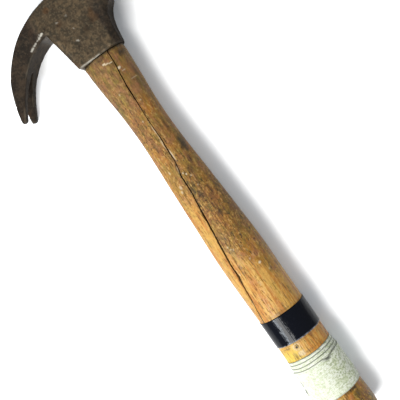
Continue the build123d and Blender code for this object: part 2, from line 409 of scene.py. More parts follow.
def dirty_wood(shader, colour, noise):
    """Colour with mud, pinkish and olive tinges, dirt and painted shade, dots, stains and painted shadows,
    chips and painted glints, and the painted shade of the split over it.
    """
    patch, hue, speck = noise["patch"], noise["hue"], noise["speck"]
    mud = shader.mix(shader.between(patch, 0.40, 0.60), seen(132, 104, 54), seen(136, 106, 76))
    tinged = shader.between(shader.mask("golden"), 0, 1, 1.0, 0.35)
    dirt = shader.mix(shader.between(patch, 0.42, 0.58), seen(112, 92, 42), seen(128, 88, 50))
    dotted = shader.between(shader.mask("grime_and_shade"), 0.1, 0.6, 0.2, 0.85)
    dotted = shader.maths("SUBTRACT", dotted, shader.between(shader.mask("muddy"), 0.2, 1.0, 0, 0.35))
    return shader.layers(
        colour,
        (shader.times(shader.mask("muddy"), 0.55), mud),
        (shader.times(tinged, shader.between(hue, 0.52, 0.62, 0, 0.5)), seen(182, 118, 80)),
        (shader.times(tinged, shader.between(hue, 0.48, 0.38, 0, 0.45)), seen(162, 140, 58)),
        (shader.times(shader.mask("grime_and_shade"), shader.between(speck, 0.60, 0.36, 0.35, 1.25)), dirt),
        (shader.times(shader.between(noise["freckle"], 0.56, 0.66), dotted), seen(62, 46, 22)),
        (shader.times(shader.mask("stain_and_shadow"), shader.between(speck, 0.3, 0.6, 0.35, 1.0)), seen(58, 46, 28)),
        (shader.mask("pale"), seen(226, 206, 172)),
        (shader.mask("split_and_pit_shade"), seen(22, 14, 10)),
    )


def end_grain_wood():
    """Dirty end grain of the wooden wedge."""
    shader = Shader("end_grain_wood")
    lines = shader.noise(shader.position((0.1, 0.25, 3.0)), 1.0, 3, 0.6)
    colour = shader.mix(shader.between(lines, 0.35, 0.65), seen(150, 112, 68), seen(96, 68, 42))
    return shader.paint(colour, shader.between(lines, 0.3, 0.7, 0.6, 0.85), shader.bump(lines, 0.15 * MM))


def rusty_steel(name, dark, light, rough, middle=None):
    """Dull steel freckled with rust. A nail's head, which has a middle, gets a painted highlight round its
    rim.
    """
    shader = Shader(name, Metallic=0.6)
    freckles = shader.noise(shader.position(), 1.4, 4, 0.65)
    colour = shader.mix(shader.between(freckles, 0.38, 0.62), dark, light)
    colour = shader.mix(shader.between(freckles, 0.6, 0.72, 0, 0.8), colour, seen(120, 70, 38))
    if middle:
        from_middle = shader.node("ShaderNodeVectorMath", {"operation": "DISTANCE"})
        shader.feed(from_middle.inputs[0], shader.position())
        from_middle.inputs[1].default_value = Vector(middle) / MM
        radius = brad_radius / MM
        # painted highlight: a light ring on the nail head's rim
        rim = shader.between(from_middle.outputs["Value"], 0.55 * radius, 0.9 * radius)
        colour = shader.mix(rim, colour, seen(214, 180, 112))
    dull = shader.between(freckles, 0.3, 0.7, rough, rough + 0.25)
    return shader.paint(colour, dull, shader.bump(freckles, 0.08 * MM))


def black_vinyl():
    """Glossy black insulating tape with faint wrinkles across it, a little dust and a painted highlight
    along one edge.
    """
    shader = Shader("black_vinyl", Specular_IOR_Level=0.09)
    strip = shader.vector("strip")
    wrinkle = shader.noise(shader.scaled(strip, (0.75, 0.10, 1.0)), 1.0, 3, 0.5, 0.5)
    fine = shader.noise(shader.scaled(strip, (1.6, 0.5, 1.0)), 1.0, 3, 0.6)
    dust = shader.noise(shader.scaled(strip, (0.5, 0.8, 1.0)), 1.0, 5, 0.7)
    colour = shader.mix(shader.between(dust, 0.56, 0.78, 0, 0.35), seen(10, 12, 20), seen(42, 47, 56))
    across = shader.node("ShaderNodeSeparateXYZ", Vector=strip).outputs["Y"]
    # painted highlight: a light line along the strip's edge nearest the butt, where it catches the light
    painted_edge_glint = shader.times(shader.between(across, 0.8, 0.35), shader.between(dust, 0.42, 0.55))
    colour = shader.mix(painted_edge_glint, colour, seen(146, 147, 152))
    rough = shader.between(dust, 0.4, 0.75, 0.09, 0.22)
    relief = shader.plus(wrinkle, shader.times(fine, 0.22))
    return shader.paint(colour, rough, shader.bump(relief, 0.20 * MM, 0.4))


def cloth_tape():
    """Pale matt cloth tape: a plain weave, dirty specks, worn threads, darker edges, painted shadows and
    painted shade on its striking side.
    """
    shader = Shader("cloth_tape", Sheen_Weight=0.25, Sheen_Roughness=0.6)
    strip = shader.vector("strip")
    wave = {"Vector": strip, "Scale": 0.42, "Distortion": 0.6, "Detail": 1.0}
    warp, weft = (
        shader.node("ShaderNodeTexWave", {"bands_direction": axis}, **wave).outputs["Fac"] for axis in "XY"
    )
    weave = shader.times(shader.plus(warp, weft), 0.5)
    blotch = shader.noise(strip, 0.2, 4, 0.6)
    speck = shader.noise(strip, 0.8, 5, 0.72)
    # painted shade: the tint and the specks are stronger on the striking side, which faces away from the
    # lamps
    painted_shade_side = shader.mask("painted_shade_side")
    tinted = shader.times(shader.between(blotch, 0.40, 0.60), shader.between(painted_shade_side, 0, 1, 0.55, 1.0))
    spotted = shader.times(shader.between(speck, 0.48, 0.62), shader.between(painted_shade_side, 0, 1, 0.4, 0.95))
    colour = shader.layers(
        shader.mix(tinted, seen(243, 246, 224), seen(212, 221, 178)),
        (spotted, seen(142, 154, 104)),
        (shader.between(speck, 0.48, 0.40, 0, 0.6), seen(252, 253, 236)),
        (shader.between(weave, 0.35, 0.1, 0, 0.35), seen(158, 166, 138)),
        (shader.mask("dark_edges_and_shadows"), seen(66, 70, 50)),
    )
    relief = shader.plus(weave, shader.times(speck, 1.2))
    rough = shader.between(speck, 0.3, 0.7, 0.75, 0.95)
    return shader.paint(colour, rough, shader.bump(relief, 0.3 * MM, 0.9))


def pale_floor():
    shader = Shader("pale_floor", Roughness=0.9, Specular_IOR_Level=0.1)
    return shader.paint((FLOOR_WHITE, FLOOR_WHITE, FLOOR_WHITE, 1.0))


# ------ head

# Scuffs seen from above, in millimetres from the mouth and the axis: start, end, half width, strength
HEAD_SCUFFS = (
    ((24.9, 32.4), (25.9, 30.2), 0.4, 0.75), ((25.9, 31.6), (27.2, 27.8), 0.15, 0.5),
    ((26.4, 29), (27.6, 26), 0.28, 0.65), ((27.3, 27), (28.6, 23.6), 0.22, 0.7),
    ((28.2, 24.2), (29.4, 21), 0.55, 0.9), ((28.9, 25.4), (29.9, 22.6), 0.18, 0.55),
    ((29.3, 9.6), (29.6, 10.4), 0.35, 0.3), ((21.1, 3.4), (21.6, 3.7), 0.35, 0.4),
    ((13.9, 5.4), (14.4, 5.8), 0.45, 0.45), ((30, 3), (30.4, 2.2), 0.25, 0.25),
    ((35.6, -8), (36, -7), 0.35, 0.2),
)


def make_head(steel):
    """The forged head: the CAD shape with softened edges, hammer dents, pits and worn corners."""
    piece = copy_of_node("head", "hammer_head")
    with_modifiers(
        piece,
        ("REMESH", {"mode": "VOXEL", "voxel_size": 0.52 * MM}),
        ("SMOOTH", {"factor": 0.5, "iterations": 7}),
    )
    mesh = piece.data
    points, normals = read_vertices(mesh, "co"), read_vertices(mesh, "normal")
    to_claw = points[:, 1] - AXIS_Y
    rounded = neighbour_mean(mesh, points, 6)
    edge = ((points - rounded) * normals).sum(1) / MM
    waves = fractal_noise(points, 17 * MM, 3, 11)
    lumps = fractal_noise(points, 4.5 * MM, 3, 21)
    crowded = ramp(smooth_noise(points, 15 * MM, 51), -0.4, 0.5)
    small_pits = pit_noise(points, 2.6 * MM, 31) * crowded
    large_pits = pit_noise(points, 7.0 * MM, 41)
    depth = 0.13 * waves + 0.05 * lumps - 0.12 * small_pits - 0.14 * large_pits
    depth -= 0.25 * ramp(edge, 0.05, 0.16) * ramp(smooth_noise(points, 3 * MM, 61), 0.0, 0.7)
    # the striking face is battered: its rim is dented and chipped
    at_rim = bump_at(points[:, 1], head_low.y, 5 * MM)
    depth -= 0.3 * at_rim * ramp(smooth_noise(points, 3.5 * MM, 71), 0.1, 0.8)
    # the claw is slim, and its tips are blunt and curl in a little, the lower one more
    curl = ramp(to_claw, 52 * MM, 62 * MM) * (1 + 0.25 * ramp(points[:, 2], MID_Z + 2 * MM, MID_Z - 2 * MM))
    inner = ramp(normals[:, 0], -0.2, -0.8)
    depth += inner * (0.5 * curl - 0.45 * bump_at(to_claw, 35 * MM, 18 * MM))
    moved = points + normals * (depth * MM)[:, None]
    moved[:, 0] -= 0.8 * MM * curl
    moved[:, 1] -= 0.7 * MM * curl
    moved[:, 2] = np.maximum(moved[:, 2], head_low.z)
    write_points(mesh, moved)
    write_mask(piece, "pits", np.clip(1.2 * small_pits + 0.8 * large_pits, 0, 0.7))
    write_head_masks(piece, points, normals, edge, lumps)
    piece.data.materials.append(steel)
    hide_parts("head")
    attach(piece, "root")


def write_head_masks(piece, points, normals, edge, lumps):
    """Rust, bright worn edges, pale scuffs with a painted highlight on the mouth's rim, the darker claw,
    and painted shade on the striking side.
    """
    to_claw, from_mouth = points[:, 1] - AXIS_Y, points[:, 0] - MOUTH_X
    rust = ramp(fractal_noise(points, 9 * MM, 4, 81), 0.28, 0.6) * 0.6
    rust_patch = Vector((MOUTH_X + 39 * MM, AXIS_Y + 11 * MM, head_high.z))
    from_patch = np.linalg.norm(points - rust_patch, axis=1)
    rust = np.maximum(rust, 0.75 * ramp(from_patch + 1.2 * MM * lumps, 3.2 * MM, 1.5 * MM))
    write_mask(piece, "rust", rust)
    worn = ramp(edge, 0.10, 0.24) * ramp(smooth_noise(points, 6 * MM, 91), -0.2, 0.9) * 0.28
    struck = bump_at(points[:, 1], head_low.y, 3 * MM) * 0.6
    write_mask(piece, "worn", np.clip(worn + struck, 0, 1))
    # a pale line along the upper rim of the socket's mouth: partly wear, partly a painted highlight where
    # that edge faces the lamps
    upper_rim = ramp(points[:, 2], MID_Z + 10.2 * MM, MID_Z + 11.4 * MM) * bump_at(to_claw, 6 * MM, 14 * MM)
    worn_lit_mouth_rim = bump_at(from_mouth, 0.15 * MM, 0.48 * MM) * upper_rim
    worn_lit_mouth_rim = worn_lit_mouth_rim * ramp(smooth_noise(points, 2.2 * MM, 93), -0.9, 0.3)
    write_mask(piece, "scuff_and_glint", np.maximum(scuffs_on_head(points), 0.85 * worn_lit_mouth_rim))
    claw = ramp(to_claw, 17 * MM, 27 * MM) * (1 - 0.15 * ramp(normals[:, 0], -0.4, -0.9))
    # painted shade: the striking side of the head, which faces away from the lamps, darkened most near the
    # mouth
    painted_shade_facet = ramp(to_claw, -10 * MM, -13 * MM) * (0.5 + 0.5 * ramp(from_mouth, 28 * MM, 18 * MM))
    write_mask(piece, "dark", np.clip(np.maximum(claw, painted_shade_facet), 0, 1))


def segment_distance(points, start, end):
    """Distance from each point to a line segment, seen from above."""
    start, end = np.array(start), np.array(end)
    run = end - start
    share = np.clip(((points[:, :2] - start) @ run) / (run @ run), 0, 1)
    return np.linalg.norm(points[:, :2] - start - share[:, None] * run, axis=1)


def scuffs_on_head(points):
    """How strong the old pale scuffs on the upper cheek and the side of the claw are at each point."""
    on_top = ramp(points[:, 2], MID_Z + 9 * MM, MID_Z + 11 * MM)
    ragged = (smooth_noise(points, 0.9 * MM, 95) + 0.8 * smooth_noise(points, 2.1 * MM, 97)) * 0.4 * MM
    soft = 0.25 * MM
    marks = np.zeros(len(points))
    for start, end, half_width, strength in HEAD_SCUFFS:
        start = (MOUTH_X + start[0] * MM, AXIS_Y + start[1] * MM)
        end = (MOUTH_X + end[0] * MM, AXIS_Y + end[1] * MM)
        near = segment_distance(points, start, end) + ragged
        marks = np.maximum(marks, strength * ramp(near, half_width * MM + soft, half_width * MM - soft))
    return marks * on_top


# ------ handle

# The split seen from above: distance from the butt, offset to the claw side, in millimetres
SPLIT_POINTS = (
    (290, -5.4), (279.5, -5), (270, -4.5), (262.8, -3.1), (253, -2.2), (244, -1.8), (232, -1),
    (220, -0.9), (209, -0.2), (201, 0.1), (196.5, 1.2), (193, 2.2), (187, 2.3), (180, 2.7),
    (171, 4), (160, 5.2), (150, 6.4), (141, 7.5), (132, 8.6), (124, 9), (114, 10),
    (106, 10.8), (97.5, 12), (88, 12.9), (60, 14),
)
SPLIT_START, SPLIT_END = 76, 281
BUTT_ROUND = 3.2 * MM
SHOULDER = 279.75 * MM  # from the butt to the end of the stick, against the mouth
# Splinters gone from the split's edges, in millimetres: from the butt, offset, length, width, depth
SPLINTERS = (
    (124, -0.9, 3, 0.9, 0.5), (197, 0.6, 3, 0.6, 0.4), (206, -0.5, 4, 0.5, 0.3),
    (152, 0.5, 2, 0.5, 0.3), (240, 0.4, 2, 0.4, 0.3), (134, -0.5, 1.6, 0.5, 0.3),
    (103, 0.5, 2.4, 0.5, 0.3), (168, -0.4, 2, 0.4, 0.3), (181, 0.4, 1.5, 0.4, 0.3),
)
# Stains and painted shadow lines on the wood, in millimetres: from the butt, offset to the claw side,
# length, width, strength; the one at 24.4 is a painted shadow under the cloth tape's edge
STAINS_AND_SHADOW_LINES = (
    (208.5, -9.8, 8, 2.6, 0.9), (162.3, -4.9, 4, 1.7, 0.9), (182, 1.2, 4.5, 1.5, 0.85),
    (177, -1.4, 4, 1.8, 0.8), (275, -10.8, 3.5, 3.2, 0.95), (271, 4.7, 2.2, 2.2, 0.3),
    (262, -11.5, 6, 1.2, 0.6), (200, -8.6, 5, 1.4, 0.8), (150, -8.5, 6, 1.1, 0.5),
    (277.2, 2, 1.8, 6, 0.7), (226, -8, 9, 1.2, 0.7), (186, -5, 7, 0.9, 0.6),
    (178, 7.4, 7, 1, 0.5), (216, 5, 8, 1.2, 0.5), (255, -9.5, 6, 1.2, 0.4),
    (138, -3, 5, 0.9, 0.45), (193, -5, 5, 2.6, 0.65), (171, -2, 6, 1, 0.5),
    (176, -8, 6, 1.6, 0.6), (67.2, 10.6, 0.9, 3.6, 0.75), (90, 0, 1.2, 14, 0.45),
    (68.6, 0, 0.9, 14, 0.5), (60.4, 0, 1.1, 14, 0.45), (62.5, 8.2, 2.8, 1.2, 0.6),
    (121.2, 8.5, 1.8, 0.8, 0.95), (118.6, 9, 1.4, 0.6, 0.9), (24.4, -8.5, 2.1, 7, 1),
    (20, -10, 5, 4, 0.7), (12, 2, 3, 4, 0.5), (236, 5.5, 6, 0.9, 0.5),
    (262, 7, 4, 1.6, 0.4), (246, -6.4, 7, 0.8, 0.4),
)
# Pale chips, in the same columns; the two at 60.2 and 61.6 mm from the butt are a painted highlight, the
# glare of the varnish
PALE_CHIPS_AND_GLARE = (
    (273.9, 1.5, 0.45, 1.3, 0.95), (273.2, -0.4, 0.4, 1.4, 0.95), (272.6, -2.4, 0.4, 1.4, 0.9),
    (267.4, -5, 0.8, 1.2, 1), (264.9, -6.5, 0.35, 1.6, 0.6), (192.3, -1.2, 0.7, 0.6, 0.9),
    (122.6, -7, 1, 0.9, 0.9), (116, -9.6, 0.6, 0.5, 0.5), (128, -3.5, 0.6, 0.5, 0.5),
    (206.5, -1, 5, 0.28, 0.8), (254, 4.5, 0.9, 0.5, 0.4), (61.6, 3.9, 2, 2.2, 0.55),
    (60.2, 3, 1, 1.6, 0.5), (139, 3, 0.6, 0.5, 0.6), (258, -9, 0.5, 2, 0.4),
    (183, -3.4, 0.5, 0.5, 0.7), (215, 0.4, 3, 0.2, 0.7), (193.8, 0.2, 0.7, 0.5, 0.8),
    (190, -3.2, 0.5, 0.6, 0.6), (198.2, 7.2, 0.8, 0.6, 0.6), (187.2, 6.6, 1.2, 0.9, 0.5),
    (184.4, 7.6, 1, 0.7, 0.45), (122.9, 7.6, 1, 0.5, 0.5), (141.2, 3.8, 0.8, 0.5, 0.6),
    (138.2, 1.6, 0.6, 0.5, 0.5), (233, 2.2, 0.6, 0.5, 0.5), (244.5, -4.4, 0.5, 0.5, 0.5),
)
WOOD_MASKS = ("grime_and_shade", "stain_and_shadow", "pale", "split_and_pit_shade", "varnish", "golden", "yellow", "muddy")


def smoothed(values, reach):
    """Values averaged with their neighbours up to reach away, the nearer ones counting more."""
    window = np.hanning(2 * reach + 3)[1:-1]
    return np.convolve(np.pad(values, reach, mode="edge"), window / window.sum(), "valid")


def handle_sections():
    """Distances from the butt and the CAD handle's half width and half thickness there."""
    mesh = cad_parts["handle"].data
    tree = BVHTree.FromPolygons([v.co for v in mesh.vertices], [p.vertices for p in mesh.polygons])
    distance = np.arange(5 * MM, 279 * MM, 1 * MM)
    half_y, half_z = [], []
    for along in distance:
        middle = Vector((BUTT_X + along, AXIS_Y, MID_Z))
        half_y.append(tree.ray_cast(middle, Vector((0, -1, 0)))[3])
        half_z.append(tree.ray_cast(middle, Vector((0, 0, -1)))[3])
    return distance, smoothed(half_y, 4), smoothed(half_z, 4)


def handle_size(distance, sections):
    """The handle's half width and half thickness at distances from the butt."""
    return np.interp(distance, sections[0], sections[1]), np.interp(distance, sections[0], sections[2])


def split_angle(distance, sections):
    """Angle of the split round the handle, from the top to the claw side."""
    table = np.array(SPLIT_POINTS)[::-1]
    offset = np.interp(distance / MM, table[:, 0], table[:, 1]) * MM
    half_y, _ = handle_size(distance, sections)
    return np.arcsin(np.clip(offset / half_y, -0.95, 0.95))


def make_handle(wood, sections):
    """The handle outside the head: an oval stick whose columns of points follow the split."""
    columns = 168
    side = np.arange(BUTT_ROUND, SHOULDER - 0.35 * MM, 0.52 * MM)
    turn = np.linspace(0, pi / 2, 9)[:-1]
    # rows as (distance, share of the full section), from the middle of the butt to the shoulder
    rows = [(-0.25 * MM * (1 - s), s * 0.8) for s in np.linspace(0.06, 0.97, 14)]
    rows += [(BUTT_ROUND * (1 - cos(a)), 0.8 + 0.2 * sin(a)) for a in turn]
    rows += [(d, 1.0) for d in side]
    rows += [(SHOULDER - 0.15 * MM, 0.985), (SHOULDER, 0.96), (SHOULDER, 0.6), (SHOULDER, 0.1)]
    distance, share = np.array(rows).T
    half_y, half_z = handle_size(distance, sections)
    t = np.linspace(-0.5, 0.5, columns, endpoint=False)
    spread = 0.24 * t + 0.76 * t * np.abs(2 * t) ** 1.4
    middle = smoothed(split_angle(distance, sections), 6)
    angle = middle[:, None] + TAU * spread[None, :]
    jog = 0.008 * smooth_noise(np.stack([distance * 500, distance * 0, distance * 0], 1), 1.0, 5)
    angle = angle + jog[:, None]
    x = np.repeat(BUTT_X + distance[:, None], columns, 1)
    y = AXIS_Y + half_y[:, None] * share[:, None] * np.sin(angle)
    z = MID_Z + half_z[:, None] * share[:, None] * np.cos(angle)
    points = np.stack([x, y, z], -1).reshape(-1, 3)
    first, last = np.arange(columns), len(points) - columns + np.arange(columns)[::-1]
    sides = grid_faces(len(rows), columns, True, flip=True)
    piece = mesh_piece("handle_stick", points, [sides, first[None, :], last[None, :]])
    shape_handle(piece, points, distance, share, half_y, spread)
    piece.data.materials.append(wood)
    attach(piece, "root")
    return piece


def shape_handle(piece, points, distance, share, half_y, spread):
    """Carves the split, chips, dents and grain into the stick, and writes its masks."""
    normals = read_vertices(piece.data, "normal")
    along = np.repeat(distance, len(spread)) / MM
    share = np.repeat(share, len(spread))
    # signed distance from the split round the handle, in millimetres
    across = (TAU * spread[None, :] * half_y[:, None]).ravel() / MM
    offset_y, offset_z = (points[:, 1] - AXIS_Y) / MM, (points[:, 2] - MID_Z) / MM
    flat = np.stack([along, across, np.zeros_like(along)], 1)
    stick = np.stack([along, offset_y, offset_z], 1)
    # split
    opening = ramp(along, SPLIT_START, SPLIT_START + 20) * ramp(along, SPLIT_END + 3, SPLIT_END)
    half_width = 0.19 + 0.09 * ramp(along, 200, 185) + 0.22 * bump_at(along, 132, 60)
    half_width += 0.10 * ramp(along, 232, 248) + 0.3 * bump_at(along, 121.5, 3.5)
    half_width += 0.07 * smooth_noise(flat * (1, 0, 1), (9, 1, 1), 3)
    half_width = half_width * (0.35 + 0.65 * opening)
    groove = ramp(np.abs(across), half_width + 0.06, half_width - 0.08) * opening
    lip = 0.06 + 0.10 * smooth_noise(flat, (14, 50, 1), 4)
    lip *= ramp(across, 0.15, 0.3) * ramp(across, 5, 0.6)
    splinter = soft_spots(SPLINTERS, along, across, 0, 1.0, 0.55)
    dents = dents_on_handle(along, across, 2.4 * half_y.max() / MM)
    depth = -3.2 * groove + lip * opening * (along > 90) - splinter - dents
    # a crushed collar of fibres under the mouth of the socket
    collar = bump_at(along, MOUTH - 1.5, 4.0)
    depth -= 0.35 * collar * ramp(smooth_noise(stick, (3, 2, 2), 12), -0.2, 0.8)
    # raised grain, and a slightly lumpy stick
    depth += 0.045 * fractal_noise(stick, (30, 1.0, 1.0), 3, 14) * np.minimum(share, 1)
    depth += 0.14 * fractal_noise(stick, (26, 12, 12), 2, 17)
    # pit round the brad, on the upper half
    to_brad = np.hypot(points[:, 0] - brad_top[0], points[:, 1] - brad_top[1]) / MM
    to_brad = np.where(offset_z > 0, to_brad, 99)
    depth -= 0.45 * ramp(to_brad, 2.1, 1.3)
    write_points(piece.data, points + normals * (depth * MM)[:, None])
    piece.data.set_sharp_from_angle(angle=radians(38))
    write_handle_masks(piece, stick, across, groove, splinter, dents, to_brad)


def soft_spots(spots, along, aside, ragged, outer, inner):
    """The strongest of some oval spots at each point; they fade out between inner and outer."""
    strongest = np.zeros_like(along)
    for at, offset, length, width, strength in spots:
        reach = np.hypot((along - at) / length, (aside - offset) / width)
        strongest = np.maximum(strongest, strength * ramp(reach + ragged, outer, inner))
    return strongest


def dents_on_handle(along, across, half_round):
    """Depth of the dents from missed blows, close to the head, and from long use."""
    random = np.random.default_rng(8)
    dents = np.zeros_like(along)
    for _ in range(85):
        near_head = random.random() < 0.5
        at = MOUTH - 1 - 45 * random.random() ** 1.5 if near_head else 90 + 180 * random.random()
        where = random.uniform(-half_round, half_round)
        size, cut = random.uniform(0.8, 3.0), random.uniform(0.06, 0.30)
        stretch = random.uniform(0.8, 2.2)
        reach = np.hypot((along - at) / (size * stretch), (across - where) / size)
        dents = np.maximum(dents, cut * ramp(reach, 1.0, 0.2))
    return dents


def write_handle_masks(piece, stick, across, groove, splinter, dents, to_brad):
    """Dirt and painted shade, stains and painted shadows, pale chips and painted highlights, varnish and
    the painted shade of the split, for the wood's material.
    """
    along, offset_y, offset_z = stick.T
    cloudy = fractal_noise(stick, (11, 5, 5), 4, 101)
    fine = fractal_noise(stick, (3.0, 1.6, 1.6), 3, 111)
    upper = ramp(offset_z, -2, 3)
    claw_side = 1 - ramp(across, 1, -2)
    slant = 1.45 * (np.clip(offset_y, -12, 6) - 5)
    worn_clean = ramp(along + 5 * cloudy - slant, 142, 134)
    grime_and_shade = grime_and_shade_on_handle(along, across, offset_y, cloudy, claw_side, worn_clean)
    grime_and_shade = np.minimum(grime_and_shade + 0.5 * ramp(dents, 0.1, 0.3), 0.95)
    stain_and_shadow = 0.75 * ramp(fine + cloudy, 0.7, 1.1) * ramp(along, 110, 160)
    stain_and_shadow = np.maximum(stain_and_shadow, 0.85 * ramp(along, 277.8, 279))
    stain_and_shadow = np.maximum(stain_and_shadow, soft_spots(STAINS_AND_SHADOW_LINES, along, offset_y, 0.5 * fine, 1.0, 0.25) * upper)
    pale = soft_spots(PALE_CHIPS_AND_GLARE, along, offset_y, 0.35 * fine, 1.15, 0.6) * upper
    pale = np.maximum(pale, 0.3 * ramp(splinter, 0.1, 0.3) * ramp(splinter, 0.6, 0.4))
    # painted highlight: a light line along the claw-side lip of the split, and below a light ring round the
    # brad
    lit_edge = 0.75 * bump_at(along, 222, 18) + 0.25 * ramp(along, 150, 90)
    lit_edge = lit_edge * bump_at(across, 0.62, 0.42) * ramp(fine, -0.5, 0.2)
    pale = np.maximum(pale, lit_edge * ramp(along, 82, 88))
    pale = np.maximum(pale, 0.9 * bump_at(to_brad, 1.9, 0.6) * ramp(fine, -0.7, 0.1))
    # painted shade: the groove of the split, the wood within 0.6 mm of it and the pit round the brad are
    # darkened
    shade = 0.75 * ramp(np.abs(across), 0.6, 0.3) * ramp(fine, -0.8, 0.2)
    shade *= ramp(along, SPLIT_START, 92) * ramp(along, 215, 195)
    split_and_pit_shade = np.maximum(groove * 1.3, shade) + 0.5 * ramp(to_brad, 1.5, 1.2)
    varnish = ramp(along, 185, 105) * ramp(cloudy, -0.7, 0.1) + 0.3 * ramp(cloudy, 0.1, 0.6)
    golden = np.maximum(worn_clean, claw_side * ramp(along, 188, 168)) * ramp(along, 24, 34)
    yellow = bump_at(along, 60, 14) * ramp(offset_y, -1, 7) * ramp(offset_z, -1, 5)
    yellow += 0.5 * ramp(along, 30, 15) * ramp(cloudy, -0.2, 0.3)
    muddy = ramp(along, 232, 262) + 0.6 * ramp(along, 185, 215) * ramp(cloudy, -0.25, 0.25)
    values = (grime_and_shade, stain_and_shadow, pale, split_and_pit_shade, varnish, golden, yellow, muddy)
    for name, value in zip(WOOD_MASKS, values):
        write_mask(piece, name, np.clip(value, 0, 1))


def grime_and_shade_on_handle(along, across, offset_y, cloudy, claw_side, worn_clean):
    """Dirt by the head, on the striking side of the split, round the split and at the butt, with painted
    shade on the striking side and towards its edge.
    """
    face_side = 1 - claw_side
    grime_and_shade = (0.46 * ramp(along, 205, 250) + 0.26 * ramp(along, 255, 276)) * (0.35 + 0.65 * claw_side)
    # darker towards the striking-side edge near the head: dirt and painted shade
    grime_and_shade += 0.15 * ramp(offset_y, -9, -12) * ramp(along, 215, 250)
    # darker on the striking side of the split, less where worn clean: dirt, partly painted shade
    kept = face_side * (1 - 0.9 * worn_clean)
    grime_and_shade += kept * (0.44 * bump_at(along, 185, 65) + 0.36 * bump_at(along, 150, 45))
    grime_and_shade += claw_side * (0.28 * bump_at(along, 215, 50) + 0.12 * bump_at(along, 172, 28))
    # darker towards the striking-side edge along the middle: dirt and painted shade
    grime_and_shade += 0.14 * ramp(offset_y, -9, -13) * ramp(along, 120, 160) * ramp(along, 225, 195)
    grime_and_shade += 0.5 * bump_at(along, 178, 17) * bump_at(offset_y, -0.6, 4.6)
    grime_and_shade += 0.25 * ramp(along, 27, 14) + 0.45 * ramp(along, 27, 14) * ramp(offset_y, -4, -10)
    grime_and_shade = grime_and_shade * (1 + 0.9 * cloudy) + 0.10 + 0.16 * ramp(cloudy, 0.1, 0.6)
    return grime_and_shade + 0.25 * ramp(np.abs(across), 2.2, 0.5) * ramp(along, 90, 120) * (1 + cloudy)


def make_tenon(wood):
    """The handle's end inside the eye, as the CAD handle has it: saw cut, wedge slots and top."""
    piece = copy_of_node("handle", "handle_tenon")
    work = bmesh.new()
    work.from_mesh(piece.data)
    bmesh.ops.remove_doubles(work, verts=work.verts, dist=1e-7)
    geometry = work.verts[:] + work.edges[:] + work.faces[:]
    cut_at = Vector((MOUTH_X + 1 * MM, 0, 0))
    cut = bmesh.ops.bisect_plane(work, geom=geometry, plane_co=cut_at, plane_no=(1, 0, 0), clear_inner=True)
    rim = [e for e in cut["geom_cut"] if isinstance(e, bmesh.types.BMEdge)]
    bmesh.ops.holes_fill(work, edges=rim)
    bmesh.ops.triangulate(work, faces=work.faces[:])
    bmesh.ops.recalc_face_normals(work, faces=work.faces[:])
    work.to_mesh(piece.data)
    work.free()
    inside = {"grime_and_shade": 0.7, "stain_and_shadow": 0.3, "muddy": 1.0}
    for name in WOOD_MASKS:
        write_mask(piece, name, np.full(len(piece.data.vertices), inside.get(name, 0.0)))
    piece.data.materials.append(wood)
    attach(piece, "root")
    return piece


# ------ wound tapes

TAPED_RADIUS = 15.2  # mean radius of the wood under the tapes, in millimetres
CLOTH_TURNS = 3.685
CLOTH_TUCK_TURN = 3.40


def wound_strip(
    name, sections, start, width, turns, first_angle, thickness, drift, edge_wander, seed,
    lift=None, tuck=0.0, tuck_turn=0.0,
):
    """A strip of tape wound on the handle, as a thin closed mesh.

    start is the distance from the butt of the strip's edge nearest the butt on its first turn,
    drift how far each turn moves along the handle, and lift(angle, along, turn), if given, a
    height in metres where the strip stands off. Each turn lies on the ones under it and drops off
    their edges. tuck is how far the strip is rucked towards the butt at one place, tuck_turn.
    """
    lengthwise, crosswise = int(turns * 150), 40
    turn = np.linspace(0, turns, lengthwise)[:, None]
    u = np.linspace(0, 1, crosswise)[None, :]
    angle = first_angle + TAU * turn

    def edge_at(turn_number):
        where = np.stack([turn_number * 9, turn_number * 0, turn_number * 0], -1).reshape(-1, 3)
        wander = edge_wander * smooth_noise(where, 1.0, seed).reshape(turn_number.shape)
        return start + drift * turn_number + wander

    along = edge_at(turn) + u * width - tuck * bump_at(turn, tuck_turn, 0.045) * u**4
    height = height_on_turns_below(along, turn, edge_at, width, thickness)
    half_y, half_z = handle_size(along, sections)
    ring = np.stack([0 * along + np.sin(angle) * 12, 0 * along + np.cos(angle) * 12, along / MM * 0.7], -1)
    wrinkle = np.abs(fractal_noise(ring.reshape(-1, 3), 2.2, 3, seed + 1).reshape(along.shape))
    if lift:
        height = height + lift(angle, along, turn)
    height = height + 0.10 * MM * wrinkle
    normal_y, normal_z = np.sin(angle) / half_y, np.cos(angle) / half_z
    scale = np.hypot(normal_y, normal_z)
    turn_there, u_there = np.broadcast_arrays(turn, u)
    size = lengthwise * crosswise
    faces, points, strip = [], [], []
    for face in (0, 1):
        thick = height + thickness * face
        y = AXIS_Y + half_y * np.sin(angle) + thick * normal_y / scale
        z = MID_Z + half_z * np.cos(angle) + thick * normal_z / scale
        points.append(np.stack([BUTT_X + along, y, z], -1).reshape(-1, 3))
        on_strip = [turn_there * TAU * TAPED_RADIUS, u_there * width / MM, np.full_like(along, face)]
        strip.append(np.stack(on_strip, -1).reshape(-1, 3))
        faces.append(grid_faces(lengthwise, crosswise, False, flip=face == 0, first=face * size))
    border = strip_border(lengthwise, crosswise)
    after = np.roll(border, -1)
    faces.append(np.stack([border, after, after + size, border + size], 1))
    piece = mesh_piece(name, np.concatenate(points), faces)
    write_vectors(piece, "strip", np.concatenate(strip))
    return piece, turn_there.ravel(), u_there.ravel(), angle


